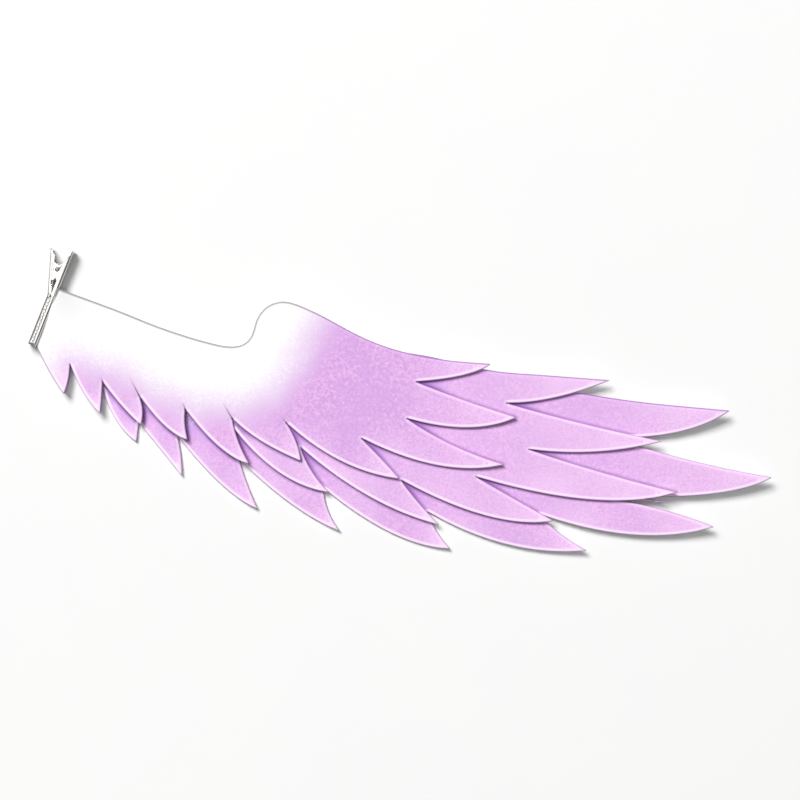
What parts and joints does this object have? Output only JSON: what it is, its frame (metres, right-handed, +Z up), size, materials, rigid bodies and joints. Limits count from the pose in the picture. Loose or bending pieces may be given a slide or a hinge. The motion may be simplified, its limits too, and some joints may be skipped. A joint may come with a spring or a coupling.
{
  "type": "feathered foam wing hair clip",
  "caption": "Flat bird wing of stacked foam sheets cut into feathers, sprayed from white to lilac, its root on the jaw of a sprung metal hair clip.",
  "frame": {"origin": "centre of the bounding box, on the surface that the wing lies on", "axes": "+X from the clip towards the wing's point, +Y towards the leading edge, +Z up out of the sheets, on the side that the picture shows"},
  "size_m": [0.3198, 0.1308, 0.008],
  "materials": {
    "foam_top": "closed-cell foam, sprayed lilac fading to white at the leading edge",
    "foam_middle": "closed-cell foam, sprayed pale lilac",
    "foam_bottom": "closed-cell foam, sprayed pale lilac",
    "clip_steel": "bright nickel plate",
    "pin_steel": "plain steel",
    "spring_steel": "grey spring wire"
  },
  "bodies": {
    "wing": {"wing_bottom_layer": "foam_bottom", "wing_middle_layer": "foam_middle", "wing_top_layer": "foam_top", "fixed_jaw": "clip_steel", "pivot_pin": "pin_steel", "spring_fixed_half": "spring_steel"},
    "moving_jaw": {"moving_jaw": "clip_steel", "spring_moving_half": "spring_steel"}
  },
  "joints": [
    {"name": "clip_pivot", "type": "hinge", "parent": "wing", "child": "moving_jaw", "pos_m": [-0.14703, 0.05598, 0.004], "axis": [0, 0, -1], "range_deg": [0, 18], "stiffness_Nm_per_rad": 0.01, "springref_deg": -20.05}
  ]
}
